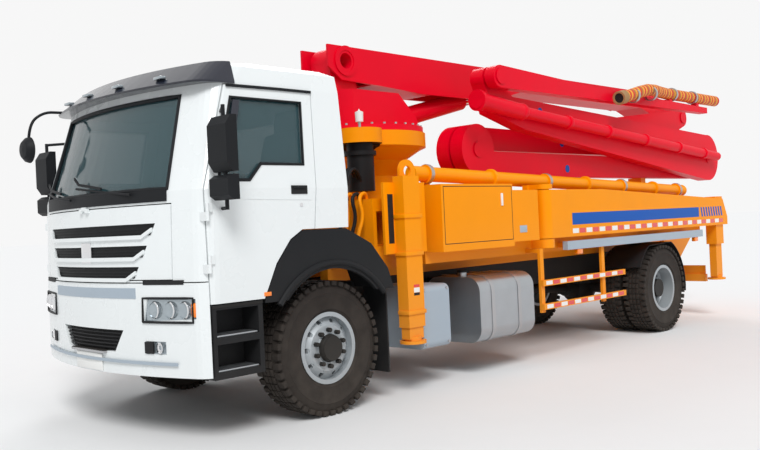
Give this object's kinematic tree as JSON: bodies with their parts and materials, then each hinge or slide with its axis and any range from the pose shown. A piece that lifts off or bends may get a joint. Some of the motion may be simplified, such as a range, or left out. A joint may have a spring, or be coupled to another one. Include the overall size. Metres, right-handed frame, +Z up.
{
  "type": "truck-mounted concrete pump",
  "caption": "Two-axle cab-over truck with a concrete pump: folding placing boom on a slewing turret, swing-out and slide-out outriggers, rear hopper, opening doors and steered wheels.",
  "frame": {"origin": "on the ground below the middle of the truck's outer box", "axes": "+X forward along the truck, +Y to its left, +Z up"},
  "size_m": [9.61, 2.96, 3.2099],
  "materials": {
    "white_paint": "gloss",
    "orange_paint": "gloss",
    "red_paint": "gloss",
    "black_paint": "satin",
    "black_plastic": "matte",
    "seat_fabric": "matte",
    "glass": "polished",
    "lamp": "polished",
    "rubber": "matte",
    "wheel_steel": "satin",
    "aluminium": "brushed",
    "rod_chrome": "polished",
    "hose": "matte"
  },
  "bodies": {
    "chassis": {"frame": "black_paint", "front_axle": "black_paint", "rear_axle": "black_paint", "driveline": "black_paint", "bumper": "white_paint", "lamps": "lamp", "steps": "black_plastic", "mudguards": "black_plastic", "tanks": "aluminium", "side_guards": "orange_paint", "deck": "orange_paint", "toolboxes": "orange_paint", "outrigger_housing": "orange_paint", "pedestal": "orange_paint", "delivery_pipe": "orange_paint", "hopper": "orange_paint", "cab_floor": "black_plastic", "cab_nose": "white_paint", "cab_back": "white_paint", "cab_roof": "white_paint", "windscreen": "glass", "sun_visor": "black_plastic", "cab_interior": "seat_fabric"},
    "door_left": {"door_left": "white_paint", "glass_left": "glass", "mirror_left": "black_plastic"},
    "door_right": {"door_right": "white_paint", "glass_right": "glass", "mirror_right": "black_plastic"},
    "front_flap": {"front_flap": "white_paint"},
    "hopper_grate": {"hopper_grate": "black_paint"},
    "knuckle_left": {"knuckle_left": "black_paint"},
    "knuckle_right": {"knuckle_right": "black_paint"},
    "wheel_front_left": {"tyre_front_left": "rubber", "wheel_front_left": "wheel_steel"},
    "wheel_front_right": {"tyre_front_right": "rubber", "wheel_front_right": "wheel_steel"},
    "wheels_rear_left": {"tyres_rear_left": "rubber", "wheels_rear_left": "wheel_steel"},
    "wheels_rear_right": {"tyres_rear_right": "rubber", "wheels_rear_right": "wheel_steel"},
    "beam_left": {"beam_left": "orange_paint"},
    "beam_right": {"beam_right": "orange_paint"},
    "leg_front_left": {"leg_front_left": "orange_paint"},
    "leg_front_right": {"leg_front_right": "orange_paint"},
    "arm_left": {"arm_left": "orange_paint"},
    "arm_right": {"arm_right": "orange_paint"},
    "leg_rear_left": {"leg_rear_left": "orange_paint"},
    "leg_rear_right": {"leg_rear_right": "orange_paint"},
    "turret": {"turret": "red_paint"},
    "boom_1": {"boom_1": "red_paint"},
    "boom_2": {"boom_2": "red_paint"},
    "boom_3": {"boom_3": "red_paint"},
    "boom_4": {"boom_4": "red_paint"},
    "boom_5": {"boom_5": "red_paint", "end_hose": "hose"},
    "lift_barrel": {"lift_barrel": "red_paint"},
    "lift_rod": {"lift_rod": "rod_chrome"}
  },
  "joints": [
    {"name": "door_left_hinge", "type": "hinge", "parent": "chassis", "child": "door_left", "pos_m": [4.519, 1.242, 1.7], "axis": [0, 0, -1], "range_deg": [0, 70]},
    {"name": "door_right_hinge", "type": "hinge", "parent": "chassis", "child": "door_right", "pos_m": [4.519, -1.242, 1.7], "axis": [0, 0, 1], "range_deg": [0, 70]},
    {"name": "front_flap_hinge", "type": "hinge", "parent": "chassis", "child": "front_flap", "pos_m": [4.795, 0, 1.69], "axis": [0, -1, 0], "range_deg": [0, 75]},
    {"name": "hopper_grate_hinge", "type": "hinge", "parent": "chassis", "child": "hopper_grate", "pos_m": [-4.015, -0.475, 1.434], "axis": [1, 0, 0], "range_deg": [0, 95]},
    {"name": "steer_left", "type": "hinge", "parent": "chassis", "child": "knuckle_left", "pos_m": [3.385, 0.88, 0.53], "axis": [0, 0, 1], "range_deg": [-40, 40]},
    {"name": "steer_right", "type": "hinge", "parent": "chassis", "child": "knuckle_right", "pos_m": [3.385, -0.88, 0.53], "axis": [0, 0, 1], "range_deg": [-40, 40]},
    {"name": "wheel_front_left_spin", "type": "hinge", "parent": "knuckle_left", "child": "wheel_front_left", "pos_m": [3.385, 1.011, 0.53], "axis": [0, 1, 0], "continuous": true},
    {"name": "wheel_front_right_spin", "type": "hinge", "parent": "knuckle_right", "child": "wheel_front_right", "pos_m": [3.385, -1.011, 0.53], "axis": [0, 1, 0], "continuous": true},
    {"name": "wheels_rear_left_spin", "type": "hinge", "parent": "chassis", "child": "wheels_rear_left", "pos_m": [-2.065, 0.915, 0.53], "axis": [0, 1, 0], "continuous": true},
    {"name": "wheels_rear_right_spin", "type": "hinge", "parent": "chassis", "child": "wheels_rear_right", "pos_m": [-2.065, -0.915, 0.53], "axis": [0, 1, 0], "continuous": true},
    {"name": "beam_left_slide", "type": "slide", "parent": "chassis", "child": "beam_left", "axis": [0, 1, 0], "range_m": [0, 1.4]},
    {"name": "beam_right_slide", "type": "slide", "parent": "chassis", "child": "beam_right", "axis": [0, -1, 0], "range_m": [0, 1.4]},
    {"name": "leg_front_left_slide", "type": "slide", "parent": "beam_left", "child": "leg_front_left", "axis": [0, 0, -1], "range_m": [0, 0.55]},
    {"name": "leg_front_right_slide", "type": "slide", "parent": "beam_right", "child": "leg_front_right", "axis": [0, 0, -1], "range_m": [0, 0.55]},
    {"name": "arm_left_swing", "type": "hinge", "parent": "chassis", "child": "arm_left", "pos_m": [0.335, 1.14, 1.5], "axis": [0, 0, -1], "range_deg": [0, 90]},
    {"name": "arm_right_swing", "type": "hinge", "parent": "chassis", "child": "arm_right", "pos_m": [0.335, -1.14, 1.5], "axis": [0, 0, 1], "range_deg": [0, 90]},
    {"name": "leg_rear_left_slide", "type": "slide", "parent": "arm_left", "child": "leg_rear_left", "axis": [0, 0, -1], "range_m": [0, 0.55]},
    {"name": "leg_rear_right_slide", "type": "slide", "parent": "arm_right", "child": "leg_rear_right", "axis": [0, 0, -1], "range_m": [0, 0.55]},
    {"name": "slew", "type": "hinge", "parent": "chassis", "child": "turret", "pos_m": [1.785, 0, 2.37], "axis": [0, 0, 1], "range_deg": [0, 180]},
    {"name": "lift", "type": "hinge", "parent": "turret", "child": "boom_1", "pos_m": [2.175, 0, 3.06], "axis": [0, 1, 0], "range_deg": [0, 90]},
    {"name": "fold_2", "type": "hinge", "parent": "boom_1", "child": "boom_2", "pos_m": [-4.515, 0.31, 2.85], "axis": [0, -1, 0], "range_deg": [0, 180]},
    {"name": "fold_3", "type": "hinge", "parent": "boom_2", "child": "boom_3", "pos_m": [0.675, 0.5, 2.215], "axis": [0, 1, 0], "range_deg": [0, 180]},
    {"name": "fold_4", "type": "hinge", "parent": "boom_3", "child": "boom_4", "pos_m": [-4.475, 0.69, 2.22], "axis": [0, -1, 0], "range_deg": [0, 180]},
    {"name": "fold_5", "type": "hinge", "parent": "boom_4", "child": "boom_5", "pos_m": [0.685, 0.86, 2.935], "axis": [0, 1, 0], "range_deg": [0, 180]},
    {"name": "lift_barrel_tip", "type": "hinge", "parent": "turret", "child": "lift_barrel", "pos_m": [1.635, 0, 2.48], "axis": [0, 1, 0], "range_deg": [0, 83.65]},
    {"name": "lift_rod_slide", "type": "slide", "parent": "lift_barrel", "child": "lift_rod", "axis": [-0.9705, 0, 0.2412], "range_m": [0, 1.0944]}
  ],
  "couplings": [
    {"joint": "steer_right", "follows": "steer_left", "ratio": 1},
    {"joint": "slew", "follows": "lift", "ratio": 2},
    {"joint": "fold_3", "follows": "fold_2", "ratio": 1},
    {"joint": "lift_barrel_tip", "follows": "lift", "ratio": 0.92949},
    {"joint": "lift_rod_slide", "follows": "lift", "m_per_rad": 0.69673}
  ]
}
